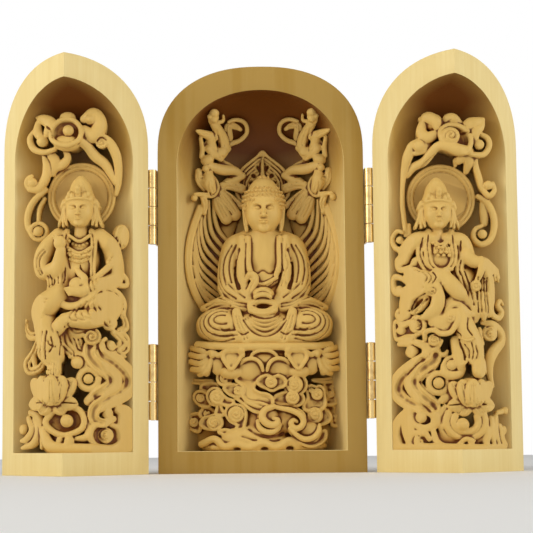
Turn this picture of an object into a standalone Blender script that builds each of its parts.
"""A folding shrine box in pale wood: a round-topped case that opens on brass hinges.

The closed box is a round post with a domed top. Its back half is the middle case, and
its front half is two quarter wings. Each body is one block of wood with a carved niche.
The model stands open, as on a shelf. Lengths below are in millimetres unless a name says
otherwise, and mesh points are made in metres.

Each body is drawn in its own block frame, whose axes are u to the viewer's right, d into
the depth of the block from its front, and z up. The middle case has its front plane at
d = 0. A wing has the corner of its two front faces, its ridge, at u = 0 and d = 0.
"""

import math

import bmesh
import bpy
import numpy as np
from mathutils import Matrix, Vector

MM = 0.001

# Outside of the closed box
HEIGHT = 100.0
RADIUS = 25.3
DOME_HEIGHT = 21.5
DOME_POWER = 2.35

# Niche inside each block
WALL = 4.8
FLOOR = 5.4
ROOF = 5.9
NICHE_DOME_HEIGHT = 18.5
NICHE_DOME_POWER = 2.1

NICHE_RADIUS = RADIUS - WALL
NICHE_TOP = HEIGHT - ROOF

# The carved forms are drawn for a box 100 units tall
RELIEF_UNIT = HEIGHT / 100

# How the three blocks meet and open
CLOSING_GAP = 0.3
WING_OPENING_DEG = 138.0
FRONT_Y = -RADIUS / 2

# Hinges
HINGE_LENGTH = 18.5
HINGE_HEIGHTS = {"lower": 22.2, "upper": 65.1}
PIN_RADIUS = 0.5
PIN_BORE_RADIUS = 0.6
BARREL_RADIUS = 1.0
BARREL_GAP = 0.12
KNUCKLE_COUNT = 4
KNUCKLE_GAP = 0.2
LEAF_THICKNESS = 0.5
LEAF_WIDTH = 6.5
LEAF_SEAT_GAP = 0.2
LEAF_SWING_GAP = 0.25

PIN_OUT = BARREL_RADIUS + BARREL_GAP + CLOSING_GAP / 2
PIN_DISTANCE = RADIUS + PIN_OUT

# Nails that hold the leaves
NAIL_HEAD_RADIUS = 0.9
NAIL_HEAD_HEIGHT = 0.45
NAIL_SHANK_RADIUS = 0.35
NAIL_LENGTH = 3.0
NAIL_HOLE_RADIUS = 0.5
NAIL_HOLE_SPARE = 0.4
NAIL_ALONG_LEAF = 4.2
NAIL_SPACING = 10.0
NAIL_SEAT_GAP = 0.1

# How finely round shapes are faceted
DOME_RINGS = 6
SEGMENTS_PER_QUARTER = 8
HINGE_SEGMENTS = 8
LEAF_SEGMENTS = 2
NAIL_SEGMENTS = 6
SHARP_ANGLE_DEG = 35.0

# How finely the carving is sampled, and how many triangles it keeps
CARVING_STEP = 0.85
CARVING_DEPTH_SAMPLES = 44
CASE_CARVING_TRIANGLES = 2150
WING_CARVING_TRIANGLES = 1200

# How the carving sits in the niche: its root runs into the wall, and it keeps off the edges
CARVING_ROOT = 0.9
CARVING_ROOT_THICKNESS = 1.2
CARVING_EDGE = 0.35
FRONT_MARGIN = 0.25
WALL_SKIM = 0.15
CASE_CARVING_TOP = NICHE_TOP - 2.0 * RELIEF_UNIT
WING_CARVING_TOP = NICHE_TOP - 6.0 * RELIEF_UNIT

WOOD_COLOUR = (0.79, 0.62, 0.33, 1.0)
BRASS_COLOUR = (0.80, 0.62, 0.28, 1.0)



def dome_profile(radius, bottom, top, dome_height, power):
    """Points (radius, z) up a straight wall and over a domed top, which ends on the axis."""
    points = [(radius, bottom)]
    spring = top - dome_height
    for ring in range(DOME_RINGS):
        turn = math.radians(90 * ring / DOME_RINGS)
        points.append((
            radius * math.cos(turn) ** (2 / power),
            spring + dome_height * math.sin(turn) ** (2 / power),
        ))
    points.append((0.0, top))
    return points


def niche_radius_at(z):
    """Radius of the niche wall at height z, for numbers or arrays."""
    rise = np.clip((z - (NICHE_TOP - NICHE_DOME_HEIGHT)) / NICHE_DOME_HEIGHT, 0.0, 1.0)
    return NICHE_RADIUS * (1 - rise ** NICHE_DOME_POWER) ** (1 / NICHE_DOME_POWER)


def new_object(name, mesh, material, parent=None):
    """Links a mesh as an object, with its material and its parent."""
    obj = bpy.data.objects.new(name, mesh)
    bpy.context.scene.collection.objects.link(obj)
    if material is not None:
        mesh.materials.append(material)
    mesh.shade_smooth()
    mesh.set_sharp_from_angle(angle=math.radians(SHARP_ANGLE_DEG))
    obj.parent = parent
    return obj


def mesh_from_bmesh(name, work):
    """A mesh in metres from a bmesh in millimetres, with its faces turned outwards."""
    bmesh.ops.remove_doubles(work, verts=work.verts, dist=1e-4)
    bmesh.ops.recalc_face_normals(work, faces=work.faces)
    bmesh.ops.scale(work, vec=(MM, MM, MM), verts=work.verts)
    mesh = bpy.data.meshes.new(name)
    work.to_mesh(mesh)
    work.free()
    return mesh


def hidden_tool(obj):
    """Marks an object as a cutter or a piece that a Boolean takes in."""
    obj.hide_render = True
    obj.display_type = "WIRE"
    return obj


def boolean(obj, tool, operation):
    """Adds a Boolean modifier with the default exact solver."""
    modifier = obj.modifiers.new(operation.lower(), "BOOLEAN")
    modifier.operation = operation
    modifier.object = tool
    return modifier


def block_mesh(name, start_deg, sweep_deg):
    """A slice of the domed post with its niche. Angles run round the axis from +u towards +d."""
    outer = dome_profile(RADIUS, 0.0, HEIGHT, DOME_HEIGHT, DOME_POWER)
    inner = dome_profile(
        NICHE_RADIUS, FLOOR, NICHE_TOP, NICHE_DOME_HEIGHT, NICHE_DOME_POWER
    )
    steps = round(SEGMENTS_PER_QUARTER * sweep_deg / 90)
    angles = [math.radians(start_deg + sweep_deg * k / steps) for k in range(steps + 1)]
    work = bmesh.new()

    def grid(profile):
        rows = []
        for radius, z in profile[:-1]:
            rows.append([
                work.verts.new((radius * math.cos(a), radius * math.sin(a), z)) for a in angles
            ])
        tip = work.verts.new((0, 0, profile[-1][1]))
        for low, high in zip(rows, rows[1:]):
            for k in range(steps):
                work.faces.new((low[k], low[k + 1], high[k + 1], high[k]))
        for k in range(steps):
            work.faces.new((rows[-1][k], rows[-1][k + 1], tip))
        centre = work.verts.new((0, 0, profile[0][1]))
        for k in range(steps):
            work.faces.new((rows[0][k + 1], rows[0][k], centre))
        return rows, tip, centre

    outer_rows, outer_tip, outer_centre = grid(outer)
    inner_rows, inner_tip, inner_centre = grid(inner)
    for edge in (0, steps):
        outside = [row[edge] for row in outer_rows] + [outer_tip]
        inside = [row[edge] for row in inner_rows] + [inner_tip]
        for k in range(len(outside) - 1):
            work.faces.new((outside[k], outside[k + 1], inside[k + 1], inside[k]))
        work.faces.new((outside[0], inside[0], inner_centre, outer_centre))
    return mesh_from_bmesh(name, work)


class Relief:
    """Carved forms as one field over a grid of sample points, negative inside the wood.

    Places and sizes are in hundredths of the box's height, in the block's own frame.
    """

    def __init__(self, u, d, z):
        self.u, self.d, self.z = u, d, z
        self.field = np.full(u.shape, 50.0)

    def join(self, distance, blend):
        """Joins a form to the rest with a soft fillet of about the blend's size."""
        share = np.clip(0.5 + 0.5 * (self.field - distance) / blend, 0.0, 1.0)
        self.field += (distance - self.field) * share - blend * share * (1 - share)

    def ball(self, centre, radii, turn=0.0, blend=0.5):
        """An ellipsoid, turned in the plane that faces the viewer."""
        du, dd, dz = self.u - centre[0], self.d - centre[1], self.z - centre[2]
        c, s = math.cos(math.radians(turn)), math.sin(math.radians(turn))
        p = np.stack([(du * c + dz * s) / radii[0], dd / radii[1], (dz * c - du * s) / radii[2]])
        size = np.sqrt((p ** 2).sum(0))
        steep = np.sqrt(((p / np.array(radii).reshape(3, 1, 1, 1)) ** 2).sum(0)) + 1e-9
        self.join(size * (size - 1) / steep, blend)

    def limb(self, points, radii, blend=0.4):
        """A round bar along straight runs, whose radius changes from point to point."""
        nearest = np.full(self.u.shape, 50.0)
        for (a, b), (ra, rb) in zip(zip(points, points[1:]), zip(radii, radii[1:])):
            run = np.subtract(b, a)
            offset = [self.u - a[0], self.d - a[1], self.z - a[2]]
            along = sum(o * r for o, r in zip(offset, run)) / max(run @ run, 1e-9)
            along = np.clip(along, 0, 1)
            gap = sum((o - along * r) ** 2 for o, r in zip(offset, run))
            nearest = np.minimum(nearest, np.sqrt(gap) - (ra + along * (rb - ra)))
        self.join(nearest, blend)

    def scroll(self, centre, radius, blend=0.4):
        """A curl of cloud or wave seen from the front, as a thick domed button."""
        self.ball(centre, (radius, 0.8 * radius, radius), blend=blend)

    def drum(self, centre, half_width, half_depth, half_height, flare=0.0, blend=0.5):
        """An upright oval drum, wider at its top by the flare for each millimetre of height."""
        rise = self.z - centre[2]
        size = np.hypot((self.u - centre[0]) / half_width, (self.d - centre[1]) / half_depth)
        side = (size - 1) * min(half_width, half_depth) - flare * rise
        self.join(np.maximum(side, np.abs(rise) - half_height), blend)

    def disc(self, centre, radius, half_thickness, blend=0.3):
        """A flat round plate that faces the viewer."""
        size = np.hypot(self.u - centre[0], self.z - centre[2]) - radius
        self.join(np.maximum(size, np.abs(self.d - centre[1]) - half_thickness), blend)


def nimbus_outline(u, z):
    """Below zero inside the nimbus: a tall oval behind the body and a pointed arch over the head."""
    body = (np.hypot(u / 19.4, (z - 54.5) / 21.0) - 1) * 19.4
    arch = np.maximum(np.abs(u) - 8.0, 0.8 * (z - 82.4) + 0.6 * np.abs(u))
    return np.minimum(body, np.maximum(arch, 54.5 - z))


def flying_maiden(relief, side):
    """One of the two celestial maidens beside the nimbus, mirrored by side."""
    def at(point):
        return (side * abs(point[0]), point[1], point[2])

    relief.limb([at((-11.5, 4.9, 89.4)), at((-11.8, 8.1, 87.2))], [1.1, 1.9])
    relief.limb([at((-11.1, 9.8, 87.0)), at((-10.5, 13.5, 83.6))], [2.0, 1.6])
    relief.limb([at((-11.7, 10.6, 85.1)), at((-12.3, 13.0, 79.4))], [2.2, 1.9])
    relief.limb([at((-13.2, 10.0, 84.0)), at((-15.6, 7.2, 84.8))], [1.4, 1.0])
    relief.limb([at((-13.2, 10.0, 83.5)), at((-12.2, 11.6, 80.7)), at((-9.8, 14.3, 79.8))], [0.9, 0.9, 0.8])
    relief.limb([at((-13.3, 12.3, 77.7)), at((-12.4, 13.4, 72.7))], [2.9, 2.4])
    relief.limb([at((-12.3, 13.7, 77.4)), at((-8.3, 16.3, 76.8)), at((-4.5, 18.0, 74.9))], [1.8, 1.9, 1.4])
    relief.limb([at((-11.9, 14.1, 72.3)), at((-8.4, 16.5, 67.5)), at((-5.9, 17.4, 62.5))], [2.3, 2.9, 2.2])
    relief.limb([at((-11.1, 15.2, 71.5)), at((-13.4, 12.6, 70.1)), at((-16.5, 9.5, 68.9))], [0.8, 0.8, 1.2])
    relief.limb([at((-9.9, 16.4, 79.9)), at((-4.2, 17.0, 84.1)), at((-3.6, 14.8, 87.4)), at((-6.6, 12.1, 88.9))],
                [0.7, 0.6, 0.6, 0.6])


def seated_figure(relief):
    """The seated main figure, from the knot of hair down to the crossed legs."""
    relief.ball((0, 10.6, 64.9), (4.7, 5.0, 6.1))
    relief.ball((0, 11.2, 67.2), (5.5, 5.4, 4.0))
    relief.ball((0, 11.2, 70.2), (3.4, 3.2, 2.5))
    relief.limb([(0, 11.6, 62), (0, 12.0, 56)], [3.0, 3.4], blend=1.0)
    relief.ball((0, 12.8, 51.0), (9.2, 6.4, 9.6), blend=1.2)
    relief.ball((0, 7.6, 46.8), (6.2, 3.0, 3.4), blend=1.2)
    relief.ball((0, 4.8, 43.6), (3.5, 2.4, 3.6), blend=0.8)
    relief.ball((0, 8.6, 36.6), (9.4, 6.0, 4.3), blend=0.8)
    for side in (-1, 1):
        relief.limb([(side * 5.1, 10.8, 66.0), (side * 5.1, 10.6, 60.8)], [0.8, 0.7])
        shoulder = [(side * 3.0, 12.0, 57.2), (side * 7.8, 11.8, 54.4)]
        elbow = (side * 9.6, 9.6, 45.6)
        relief.limb([*shoulder, (side * 9.5, 11.0, 50.0), elbow], [2.0, 3.0, 2.5, 2.5], blend=1.0)
        relief.limb([elbow, (side * 6.2, 6.6, 43.2), (side * 2.6, 4.8, 42.2)], [2.5, 2.2, 1.8], blend=0.8)
        relief.ball((side * 9.8, 8.2, 41.8), (6.6, 4.6, 1.7), turn=side * -14, blend=0.8)
        relief.ball((side * 10.0, 8.7, 36.7), (6.7, 6.3, 4.3), blend=0.8)


def lotus_throne(relief):
    """The cloth-covered lotus seat under the figure."""
    relief.drum((0, 12.6, 30.9), 17.0, 9.4, 2.0)
    relief.drum((0, 12.6, 27.0), 14.4, 8.2, 4.2, flare=0.25)
    for u, width, z in ((0, 3.2, 27.8), (5.2, 3.3, 25.4), (10.6, 3.2, 25.2)):
        for side in (-1, 1):
            relief.ball((side * u, 6.2 + 0.02 * u ** 2, z), (width, 2.4, 2.9))
    for side in (-1, 1):
        relief.ball((side * 8.1, 3.6, 28.4), (2.3, 1.4, 2.6), turn=side * 12)
        relief.ball((side * 15.4, 8.6, 28.2), (2.9, 4.2, 4.4))


def cloud_bank(relief):
    """The heap of curled clouds that carries the throne."""
    relief.ball((0, 15.0, 14.0), (18.6, 10.0, 13.0))
    clouds = (
        ((-9.2, 8.0, 22.8), 2.8), ((-4.0, 6.0, 23.7), 3.4), ((2.2, 4.0, 22.4), 3.4), ((8.0, 5.0, 21.6), 2.8),
        ((-11.2, 6.0, 19.1), 2.6), ((-6.5, 5.0, 20.0), 2.7), ((-0.1, 4.0, 17.7), 3.4), ((7.3, 4.0, 18.2), 3.2),
        ((13.7, 6.0, 18.6), 3.2), ((17.3, 10.0, 19.9), 2.6), ((-6.0, 4.0, 14.1), 3.3), ((-12.0, 6.0, 13.0), 2.9),
        ((-16.5, 9.0, 12.1), 2.5), ((3.0, 4.0, 12.8), 3.6), ((8.7, 5.0, 12.5), 3.2), ((12.7, 6.0, 13.7), 2.8),
        ((17.2, 9.0, 13.7), 2.7), ((-8.0, 4.0, 9.5), 3.4), ((-1.9, 3.0, 8.5), 3.2), ((4.7, 3.0, 7.9), 3.4),
        ((11.1, 5.0, 8.9), 3.3), ((15.4, 8.0, 8.8), 2.6), ((-13.7, 6.0, 7.9), 2.6), ((-14.8, 10.0, 18.0), 2.4),
    )
    for centre, radius in clouds:
        relief.scroll(centre, radius)


def case_carving(relief, wall):
    """Everything carved in the middle niche."""
    plate = np.maximum(nimbus_outline(relief.u, relief.z), wall - 1.6 - relief.d)
    relief.join(plate, 0.2)
    for side in (-1, 1):
        flying_maiden(relief, side)
    seated_figure(relief)
    lotus_throne(relief)
    cloud_bank(relief)


def cloud_crest(relief, side, centre):
    """The curled cloud over a wing's halo. Side is -1 where its long tail falls on the right."""
    def at(u, rise, d):
        return (centre[0] - side * u, d, centre[2] + rise)

    relief.scroll(at(-0.4, 0.2, 12.4), 3.7)
    relief.scroll(at(0.0, 4.0, 13.6), 1.8)
    relief.scroll(at(5.2, 3.6, 13.2), 2.1)
    relief.scroll(at(5.9, 0.6, 13.2), 2.2)
    relief.ball(at(-5.2, 3.2, 13.6), (1.6, 1.6, 3.0), turn=side * 25)
    relief.scroll(at(-6.6, -2.4, 13.4), 3.1)
    relief.limb([at(2, -2, 13.6), at(5.4, -4.6, 14.6), at(9.4, -7, 14.2), at(11.0, -12.5, 13.8)],
                [1.6, 1.7, 1.4, 0.9])
    relief.scroll(at(7.6, -2.6, 12.8), 1.9)
    relief.limb([at(8.6, -3.2, 13.6), at(10.6, -6, 13.4), at(11.3, -11, 13.6)], [1.2, 1.0, 0.8])
    relief.limb([at(-3.4, -4, 14.4), at(-4.6, -9, 14.4), at(-7.0, -12.6, 13.8)], [1.7, 1.0, 0.9])
    relief.scroll(at(-9.0, -12.0, 13.2), 1.8)
    relief.limb([at(-6.4, -14.6, 14.6), at(-9.6, -18.6, 13.8), at(-9.4, -23.4, 13.6)], [0.9, 1.0, 1.0])
    relief.scroll(at(-7.8, -24.2, 13.2), 2.4)


def standing_halo(relief, centre, radius):
    """The round halo behind a wing figure's head."""
    relief.disc(centre, radius, 1.3)
    relief.limb([centre, (centre[0], 19.0, centre[2])], [radius * 0.7, radius * 0.7])


def wing_bust(relief, u, crown):
    """Head, neck and trunk of a wing figure, from the top of its hair knot down."""
    relief.ball((u, 10.4, crown - 9.2), (2.8, 3.2, 3.9))
    relief.ball((u, 11.0, crown - 5.4), (3.9, 3.4, 3.6))
    relief.ball((u, 11.2, crown - 2.2), (2.0, 2.0, 2.6))
    for side in (-1, 1):
        relief.limb([(u + side * 3.4, 11.2, crown - 6), (u + side * 3.6, 11.4, crown - 13)], [0.9, 0.9])
        relief.limb([(u + side * 2, 12, crown - 14), (u + side * 5.4, 12, crown - 17)], [1.9, 2.1], blend=0.8)
    relief.limb([(u, 11.6, crown - 12), (u, 12.0, crown - 15)], [1.8, 2.2])
    relief.ball((u, 12.4, crown - 19), (5.0, 4.4, 6.4), blend=0.8)
    relief.ball((u - 0.4, 12.4, crown - 25.5), (4.4, 4.4, 4.6), blend=0.8)


def lotus_flower(relief, centre, half_width, half_height):
    """A closed lotus bloom with a ring of open petals under it."""
    relief.ball(centre, (half_width, 0.9 * half_width, half_height))
    for turn in (-62, -22, 22, 62):
        lean = math.radians(turn)
        tip = (centre[0] + 1.15 * half_width * math.sin(lean), centre[1] + 0.4,
               centre[2] - 0.2 * half_height - 0.9 * half_height * math.cos(lean))
        relief.ball(tip, (0.34 * half_width, 1.4, 0.46 * half_height), turn=turn)


def wing_left_carving(relief, wall):
    """The left wing: a seated figure with a lotus bud, one foot on a lotus, over waves."""
    cloud_crest(relief, -1, (-0.5, 12.0, 83.2))
    standing_halo(relief, (1.8, 15.4, 67.3), 8.3)
    wing_bust(relief, 1.9, 70.2)
    relief.limb([(-2.9, 11.0, 56.4), (-5.1, 11.0, 52.6), (-5.7, 10.5, 48.6), (-2.7, 8.5, 50.8), (-2.4, 8.0, 55.3)],
                [1.7, 1.7, 1.7, 1.3, 1.0])
    relief.limb([(-6.0, 12.0, 51.2), (-6.2, 12.0, 45.9), (-3.6, 11.0, 42.4)], [2.0, 2.2, 1.6])
    relief.limb([(7.1, 12.0, 56.4), (8.6, 11.5, 51.9), (8.9, 11.5, 48.1)], [2.0, 2.0, 2.0])
    relief.limb([(8.9, 11.5, 47.6), (5.8, 9.6, 46.0), (1.8, 7.4, 43.7)], [1.9, 1.7, 1.4])
    relief.ball((11.1, 13.0, 57.4), (2.3, 1.8, 3.3))
    relief.limb([(11.1, 13.0, 55.0), (9.2, 12.6, 51.1), (3.6, 8.4, 44.9)], [0.6, 0.6, 0.7])
    relief.ball((1.5, 12.0, 42.9), (7.6, 5.6, 3.6))
    relief.limb([(-0.3, 11.5, 41.9), (-5.0, 10.5, 40.0), (-6.6, 10.2, 38.0)], [3.0, 3.2, 3.1])
    relief.limb([(-6.6, 10.4, 38.0), (-5.2, 10.6, 32.8), (-4.3, 11.0, 28.0)], [3.0, 2.7, 2.4], blend=0.8)
    relief.limb([(3.2, 11.0, 41.8), (8.6, 11.6, 40.6)], [3.0, 3.2])
    relief.limb([(8.7, 11.4, 40.6), (3.9, 9.6, 38.3), (-1.7, 8.2, 36.4)], [3.2, 2.9, 1.7], blend=0.8)
    relief.ball((-3.8, 9.6, 25.3), (1.7, 2.2, 1.9))
    relief.ball((4.4, 12.4, 34.7), (7.0, 3.4, 3.2), turn=10)
    relief.ball((12.3, 15.0, 33.3), (2.2, 1.6, 4.6))
    relief.limb([(11.3, 14.6, 51.2), (12.8, 14.8, 47.3), (11.6, 14.6, 45.4)], [0.7, 0.8, 1.0])
    relief.limb([(-11.4, 15.0, 37.0), (-10.3, 14.6, 33.3), (-7.9, 13.4, 31.5), (-8.9, 13.6, 27.2)], [0.6, 0.9, 1.0, 1.4])
    lotus_flower(relief, (-4.2, 10.4, 20.6), 4.9, 4.5)
    relief.ball((1.3, 16.5, 13.2), (14.0, 5.6, 10.5), blend=1.0)
    relief.ball((2.2, 17.0, 27.2), (10.0, 4.4, 7.0), blend=1.0)
    for centre, radius in (((5.1, 9.8, 32.8), 1.9), ((9.3, 12.2, 31.0), 2.1), ((2.0, 9.6, 26.9), 1.9),
                           ((4.3, 10.4, 22.4), 2.6), ((7.9, 12.0, 14.8), 2.4), ((-0.5, 8.8, 12.2), 4.6),
                           ((7.9, 12.0, 8.8), 3.2), ((-11.1, 14.0, 10.4), 2.6), ((-8.4, 11.6, 8.5), 2.4)):
        relief.scroll(centre, radius)
    relief.limb([(5.4, 12.0, 30.8), (5.0, 12.0, 27.9), (7.9, 12.0, 24.5), (6.2, 11.8, 20.2), (5.3, 11.6, 16.9), (6.5, 11.6, 13.1)],
                [1.6, 1.8, 2.0, 2.0, 1.8, 1.2])
    relief.limb([(8.6, 13.6, 29.4), (8.1, 13.6, 27.0), (11.8, 14.8, 23.6), (10.6, 14.4, 19.3), (7.7, 12.8, 16.7)],
                [1.4, 1.9, 2.1, 2.1, 1.7])
    relief.ball((11.8, 15.0, 11.6), (2.6, 1.6, 5.4))


def wing_right_carving(relief, wall):
    """The right wing: a seated figure with one hand out, one foot on a lotus, over waves."""
    cloud_crest(relief, 1, (1.8, 12.0, 82.1))
    standing_halo(relief, (-1.6, 15.4, 66.2), 8.5)
    wing_bust(relief, -3.0, 69.6)
    relief.limb([(-7.3, 12.0, 55.7), (-9.1, 11.6, 51.8), (-9.0, 11.0, 47.8)], [2.0, 2.1, 2.1])
    relief.limb([(-9.0, 11.0, 47.3), (-6.4, 9.6, 44.8), (-3.2, 8.6, 44.7)], [2.1, 1.9, 1.5])
    relief.limb([(2.9, 12.0, 55.6), (4.8, 11.8, 51.7), (6.1, 11.4, 49.7)], [2.0, 1.9, 1.7])
    relief.limb([(6.1, 11.4, 49.7), (8.9, 12.4, 48.9), (12.1, 13.6, 47.0)], [1.6, 1.3, 1.0])
    relief.ball((7.4, 12.6, 43.5), (3.4, 2.6, 7.6), turn=-4)
    relief.ball((-2.5, 11.6, 43.0), (7.6, 5.4, 4.6))
    relief.limb([(-3.8, 11.0, 44.4), (-8.9, 10.4, 44.9), (-10.2, 10.4, 43.0)], [3.0, 3.2, 3.0])
    relief.limb([(-9.9, 10.2, 42.9), (-7.0, 9.0, 40.4), (-4.2, 9.0, 38.0)], [3.0, 2.6, 2.4], blend=0.8)
    relief.limb([(-2.2, 8.6, 44.7), (0.3, 8.2, 42.2), (2.0, 8.6, 40.8)], [1.5, 1.6, 1.3])
    relief.ball((-8.6, 12.0, 36.8), (4.4, 3.0, 5.0), turn=20)
    relief.limb([(-0.4, 11.0, 42.0), (2.3, 10.4, 37.1), (4.1, 10.6, 31.8), (5.3, 11.0, 27.6)], [3.6, 3.2, 2.8, 2.6], blend=0.8)
    relief.limb([(-6.3, 10.0, 32.4), (-1.8, 9.2, 33.7), (0.7, 9.4, 37.1)], [1.6, 2.0, 2.0])
    relief.ball((5.5, 9.8, 23.9), (1.9, 2.3, 1.7))
    lotus_flower(relief, (4.1, 10.4, 19.4), 4.7, 4.4)
    relief.ball((-1.1, 16.5, 12.4), (14.0, 5.6, 10.5), blend=1.0)
    relief.ball((-2.2, 17.0, 26.4), (10.0, 4.4, 7.0), blend=1.0)
    for centre, radius in (((-11.0, 14.0, 50.3), 1.8), ((-11.8, 14.2, 45.2), 2.2), ((-12.1, 14.4, 38.0), 1.6),
                           ((-8.0, 11.0, 35.1), 2.0), ((-9.4, 12.2, 29.1), 2.3), ((-4.2, 9.8, 31.4), 1.8),
                           ((-3.8, 10.4, 21.4), 2.5), ((-0.5, 9.8, 24.9), 1.8), ((-7.8, 12.0, 13.4), 2.4),
                           ((1.0, 8.8, 11.4), 4.6), ((-7.9, 12.0, 8.1), 3.2), ((12.2, 14.0, 9.4), 2.4),
                           ((8.9, 12.6, 33.6), 2.6), ((11.8, 14.6, 39.8), 1.8), ((10.1, 12.0, 7.5), 2.0)):
        relief.scroll(centre, radius)
    relief.limb([(-5.3, 12.0, 30.1), (-4.4, 12.0, 27.2), (-8.8, 12.6, 23.4), (-8.4, 12.0, 19.1), (-4.2, 11.6, 15.9), (-5.7, 11.6, 12.4)],
                [1.6, 1.8, 2.0, 2.0, 1.8, 1.2])
    relief.limb([(-7.6, 13.4, 28.2), (-11.8, 14.6, 24.5), (-12.6, 14.6, 20.6), (-10.6, 13.8, 16.8), (-7.0, 12.4, 15.3)],
                [1.6, 2.0, 2.1, 2.0, 1.6])
    relief.limb([(11.4, 14.4, 31.5), (9.6, 13.6, 26.7), (10.4, 14.4, 20.9)], [1.4, 1.2, 1.0])
    relief.ball((-11.8, 15.0, 11.0), (2.6, 1.6, 5.4))


def carving_grid(rows, half_width):
    """Sample points that follow the arch, as arrays of u and z with one row for each height."""
    columns = round(2 * NICHE_RADIUS * half_width / NICHE_RADIUS / CARVING_STEP)
    across = np.linspace(-1, 1, columns + 1)
    z = np.linspace(FLOOR - CARVING_ROOT, rows, round((rows - FLOOR) / CARVING_STEP) + 1)
    width = np.minimum(half_width, half_width * niche_radius_at(z) / NICHE_RADIUS)
    return width[:, None] * across[None, :], np.repeat(z[:, None], columns + 1, axis=1)


def carving_mesh(name, carve, half_width, top, front_of, triangles):
    """A closed block whose front is the carving's face and whose root lies in the niche wall.

    Where nothing is carved, the block's front stays inside the wall, so that a Boolean union
    with the niche adds only the carved forms.
    """
    u, z = carving_grid(top, half_width)
    wall = np.sqrt(np.maximum(niche_radius_at(z) ** 2 - u ** 2, 0.0))
    root = np.sqrt((niche_radius_at(z) + CARVING_ROOT) ** 2 - u ** 2)
    front = front_of(u) + FRONT_MARGIN
    share = np.linspace(0, 1, CARVING_DEPTH_SAMPLES)
    d = front[..., None] + (root - front)[..., None] * share
    shape = d.shape
    relief = Relief(
        np.broadcast_to(u[..., None], shape) / RELIEF_UNIT, d / RELIEF_UNIT,
        np.broadcast_to(z[..., None], shape) / RELIEF_UNIT,
    )
    carve(relief, wall[..., None] / RELIEF_UNIT)
    inside = relief.field < 0
    hit = np.where(inside.any(-1), inside.argmax(-1), CARVING_DEPTH_SAMPLES - 1)
    before = np.maximum(hit - 1, 0)
    pick = lambda array, index: np.take_along_axis(array, index[..., None], -1)[..., 0]
    f0, f1 = pick(relief.field, before), pick(relief.field, hit)
    slope = np.where((hit > before) & (f1 < 0), f0 / np.maximum(f0 - f1, 1e-6), 1.0)
    face = pick(d, before) + (pick(d, hit) - pick(d, before)) * slope
    face = np.where(face > wall - WALL_SKIM, root, face)
    back = root + CARVING_ROOT_THICKNESS

    work = bmesh.new()
    rows, columns = u.shape
    sheets = []
    for depth in (face, back):
        sheets.append([
            [work.verts.new((u[i, j], depth[i, j], z[i, j])) for j in range(columns)]
            for i in range(rows)
        ])
    for sheet in sheets:
        for i in range(rows - 1):
            for j in range(columns - 1):
                work.faces.new((sheet[i][j], sheet[i][j + 1], sheet[i + 1][j + 1], sheet[i + 1][j]))
    fronts, backs = sheets
    for j in range(columns - 1):
        for i in (0, rows - 1):
            work.faces.new((fronts[i][j], fronts[i][j + 1], backs[i][j + 1], backs[i][j]))
    for i in range(rows - 1):
        for j in (0, columns - 1):
            work.faces.new((fronts[i][j], fronts[i + 1][j], backs[i + 1][j], backs[i][j]))
    bmesh.ops.triangulate(work, faces=work.faces)
    made = len(work.faces)
    mesh = mesh_from_bmesh(name, work)
    tool = hidden_tool(new_object(name, mesh, None))
    fewer = tool.modifiers.new("fewer", "DECIMATE")
    fewer.ratio = min(1.0, triangles / made)
    return tool


def new_empty(name, parent, location, turn_deg):
    """An empty that carries a block, turned about the upright axis."""
    empty = bpy.data.objects.new(name, None)
    bpy.context.scene.collection.objects.link(empty)
    empty.parent = parent
    empty.location = location
    empty.rotation_euler.z = math.radians(turn_deg)
    return empty


def cylinder(work, radius, low, high, segments, matrix=None):
    """Adds an upright cylinder between two heights to a bmesh, in millimetres."""
    place = Matrix.Translation((0, 0, (low + high) / 2))
    bmesh.ops.create_cone(
        work, cap_ends=True, segments=segments, radius1=radius, radius2=radius,
        depth=high - low, matrix=(matrix or Matrix()) @ place,
    )


def nail_matrix(across, axis):
    """Places a nail, pointing out of the wood, at an arc length round a block with this axis."""
    angle = across / RADIUS
    outward = Vector((-math.cos(angle), math.sin(angle), 0))
    turn = outward.to_track_quat("Z", "Y").to_matrix().to_4x4()
    seat = outward * (RADIUS + LEAF_SEAT_GAP + LEAF_THICKNESS)
    return Matrix.Translation((seat.x + axis[0], seat.y + axis[1], 0)) @ turn


def nail_heights():
    """Heights of a leaf's nails from the middle of the hinge."""
    return (-NAIL_SPACING / 2, NAIL_SPACING / 2)


def nail_holes(name, facing, axis):
    """Cutters for all the nail holes at one edge of a block."""
    work = bmesh.new()
    for height in HINGE_HEIGHTS.values():
        for rise in nail_heights():
            seat = nail_matrix(facing * NAIL_ALONG_LEAF, axis)
            place = Matrix.Translation((0, 0, height + rise)) @ seat
            cylinder(work, NAIL_HOLE_RADIUS, -NAIL_LENGTH - NAIL_HOLE_SPARE, 1.0, NAIL_SEGMENTS, place)
    return hidden_tool(new_object(name, mesh_from_bmesh(name, work), None))


def arc_plate(work, start, end, low, high, axis):
    """Adds a curved plate that lies round a block between two arc lengths."""
    inner = RADIUS + LEAF_SEAT_GAP
    outer = inner + LEAF_THICKNESS
    angles = [(start + (end - start) * k / LEAF_SEGMENTS) / RADIUS for k in range(LEAF_SEGMENTS + 1)]
    ring = [(axis[0] - radius * math.cos(a), axis[1] + radius * math.sin(a))
            for radius, row in ((inner, angles), (outer, angles[::-1])) for a in row]
    bottom = [work.verts.new((x, y, low)) for x, y in ring]
    top = [work.verts.new((x, y, high)) for x, y in ring]
    work.faces.new(bottom)
    work.faces.new(top)
    for k in range(len(ring)):
        n = (k + 1) % len(ring)
        work.faces.new((bottom[k], bottom[n], top[n], top[k]))


def helper(name, work):
    """A hidden helper object from a bmesh."""
    return hidden_tool(new_object(name, mesh_from_bmesh(name, work), None))


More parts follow.
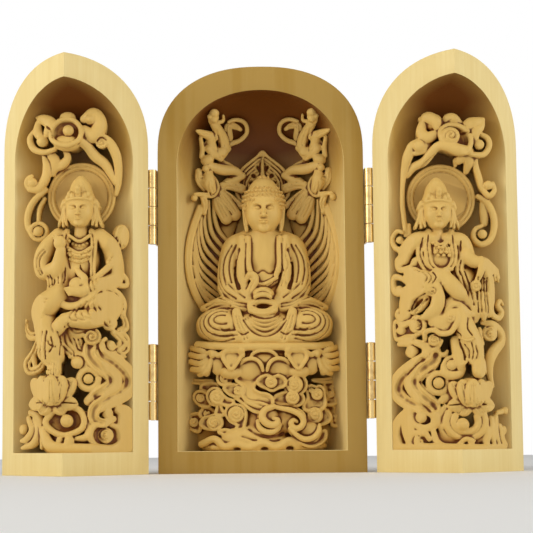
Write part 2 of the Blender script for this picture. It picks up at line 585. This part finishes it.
def hinge_leaf(name, facing, axis, brass, parent, placed):
    """One leaf of a hinge with its knuckles, round a block with this axis.

    The hinge stands at the left of the closed box. Facing is 1 for the leaf on the case and
    -1 for the leaf on the wing, which has the knuckles between the case's.
    """
    knuckle = HINGE_LENGTH / KNUCKLE_COUNT
    half = HINGE_LENGTH / 2
    tab_end = BARREL_RADIUS + LEAF_SWING_GAP
    pin_line = Matrix.Translation((-PIN_DISTANCE, 0, 0))
    work = bmesh.new()
    arc_plate(work, facing * tab_end, facing * LEAF_WIDTH, -half, half, axis)
    leaf = new_object(name, mesh_from_bmesh(name, work), brass, parent)
    tools = []
    for k in range(0 if facing > 0 else 1, KNUCKLE_COUNT, 2):
        low = -half + k * knuckle + KNUCKLE_GAP / 2
        high = low + knuckle - KNUCKLE_GAP
        work = bmesh.new()
        arc_plate(work, facing * 0.3, facing * (tab_end + 0.4), low + 0.01, high - 0.01, axis)
        tools.append(helper(f"{name}_tab_{k}", work))
        work = bmesh.new()
        cylinder(work, BARREL_RADIUS, low, high, HINGE_SEGMENTS, pin_line)
        tools.append(helper(f"{name}_knuckle_{k}", work))
    for tool in tools:
        boolean(leaf, tool, "UNION")
    work = bmesh.new()
    cylinder(work, PIN_BORE_RADIUS, -half - 1, half + 1, HINGE_SEGMENTS, pin_line)
    for rise in nail_heights():
        seat = nail_matrix(facing * NAIL_ALONG_LEAF, axis)
        cylinder(work, NAIL_HOLE_RADIUS, -1.5, 1.5, NAIL_SEGMENTS, Matrix.Translation((0, 0, rise)) @ seat)
    bore = helper(f"{name}_bores", work)
    boolean(leaf, bore, "DIFFERENCE")
    for piece in (leaf, bore, *tools):
        piece.parent = parent
        piece.matrix_local = placed
    return leaf


def nail_mesh():
    """A round-headed brass nail, pointing down, whose head rests at z = 0."""
    work = bmesh.new()
    rings = [(NAIL_SHANK_RADIUS, -NAIL_LENGTH), (NAIL_SHANK_RADIUS, NAIL_SEAT_GAP),
             (NAIL_HEAD_RADIUS, NAIL_SEAT_GAP), (0.72 * NAIL_HEAD_RADIUS, 0.75 * NAIL_HEAD_HEIGHT)]
    rows = []
    for radius, z in rings:
        rows.append([
            work.verts.new((radius * math.cos(a), radius * math.sin(a), z))
            for a in (math.tau * k / NAIL_SEGMENTS for k in range(NAIL_SEGMENTS))
        ])
    point = work.verts.new((0, 0, -NAIL_LENGTH - NAIL_SHANK_RADIUS / 2))
    crown = work.verts.new((0, 0, NAIL_HEAD_HEIGHT))
    for low, high in zip(rows, rows[1:]):
        for k in range(NAIL_SEGMENTS):
            n = (k + 1) % NAIL_SEGMENTS
            work.faces.new((low[k], low[n], high[n], high[k]))
    for k in range(NAIL_SEGMENTS):
        n = (k + 1) % NAIL_SEGMENTS
        work.faces.new((rows[0][n], rows[0][k], point))
        work.faces.new((rows[-1][k], rows[-1][n], crown))
    return mesh_from_bmesh("hinge_nail", work)


def material(name, colour, metallic, roughness):
    """A plain Principled material."""
    made = bpy.data.materials.new(name)
    made.use_nodes = True
    shader = made.node_tree.nodes["Principled BSDF"]
    shader.inputs["Base Color"].default_value = colour
    shader.inputs["Metallic"].default_value = metallic
    shader.inputs["Roughness"].default_value = roughness
    return made


def add_hinges(side, label, case_frame, wing_frame, brass):
    """The two hinges between the case and one wing. Side is -1 on the left and 1 on the right.

    A right hinge is a left hinge turned end for end, so its two leaves change places.
    """
    half = HINGE_LENGTH / 2
    half_gap = CLOSING_GAP / 2
    spin = Matrix.Rotation(math.radians(0 if side < 0 else 180), 4, "Z")
    owners = (
        ("case", -side, (0.0, -side * half_gap), case_frame),
        ("wing", side, (-half_gap, side * half_gap), wing_frame),
    )
    nail = nail_mesh()
    work = bmesh.new()
    cylinder(work, PIN_RADIUS, -half, half, HINGE_SEGMENTS)
    pin_mesh = mesh_from_bmesh(f"{label}_hinge_pin", work)
    for level, height in HINGE_HEIGHTS.items():
        placed = Matrix.Translation((0, 0, height * MM)) @ spin
        pin = new_object(f"{label}_{level}_hinge_pin", pin_mesh.copy(), brass, case_frame)
        pin.matrix_local = placed @ Matrix.Translation((-PIN_DISTANCE * MM, 0, 0))
        for owner, facing, axis, frame in owners:
            hinge_leaf(f"{label}_{level}_{owner}_leaf", facing, axis, brass, frame, placed)
            for number, rise in enumerate(nail_heights()):
                seat = nail_matrix(facing * NAIL_ALONG_LEAF, axis)
                seat.translation *= MM
                piece = new_object(f"{label}_{level}_{owner}_nail_{number + 1}", nail.copy(), brass, frame)
                piece.matrix_local = placed @ Matrix.Translation((0, 0, rise * MM)) @ seat


def build():
    """Makes the whole box, open."""
    for obj in list(bpy.data.objects):
        bpy.data.objects.remove(obj)
    wood = material("pale_wood", WOOD_COLOUR, 0.0, 0.5)
    brass = material("brass", BRASS_COLOUR, 1.0, 0.35)
    half_gap = CLOSING_GAP / 2

    case_frame = new_empty("case_frame", None, (0, FRONT_Y * MM, 0), 0)
    case = new_object("middle_case", block_mesh("middle_case", 0, 180), wood, case_frame)
    case.location = (0, half_gap * MM, 0)
    figure = carving_mesh("case_carving", case_carving, NICHE_RADIUS - CARVING_EDGE, CASE_CARVING_TOP,
                          np.zeros_like, CASE_CARVING_TRIANGLES)
    figure.parent = case
    boolean(case, figure, "UNION")
    for side in (-1, 1):
        holes = nail_holes(f"case_nail_holes_{side}", -side, (0.0, -side * half_gap))
        holes.parent = case_frame
        holes.rotation_euler.z = math.radians(0 if side < 0 else 180)
        boolean(case, holes, "DIFFERENCE")

    # A closed wing's ridge lies on the box's axis, and its block runs out to the front and the side.
    chord = NICHE_RADIUS * math.sin(math.radians(45)) - CARVING_EDGE
    for side, label, carve in ((-1, "left", wing_left_carving), (1, "right", wing_right_carving)):
        pin_frame = new_empty(f"{label}_pin_frame", None, (side * PIN_DISTANCE * MM, FRONT_Y * MM, 0),
                              side * WING_OPENING_DEG)
        wing_frame = new_empty(f"{label}_wing_frame", pin_frame, (-side * PIN_DISTANCE * MM, 0, 0), 0)
        wing = new_object(f"{label}_wing", block_mesh(f"{label}_wing", 45, 90), wood, wing_frame)
        turned = Matrix.Rotation(math.radians(180 + side * 45), 4, "Z")
        set_back = half_gap / math.sin(math.radians(45))
        wing.matrix_local = turned @ Matrix.Translation((0, set_back * MM, 0))
        figure = carving_mesh(f"{label}_wing_carving", carve, chord, WING_CARVING_TOP, np.abs,
                              WING_CARVING_TRIANGLES)
        figure.parent = wing
        boolean(wing, figure, "UNION")
        holes = nail_holes(f"{label}_wing_nail_holes", side, (-half_gap, side * half_gap))
        holes.parent = wing_frame
        holes.rotation_euler.z = math.radians(0 if side < 0 else 180)
        boolean(wing, holes, "DIFFERENCE")
        add_hinges(side, label, case_frame, wing_frame, brass)


build()
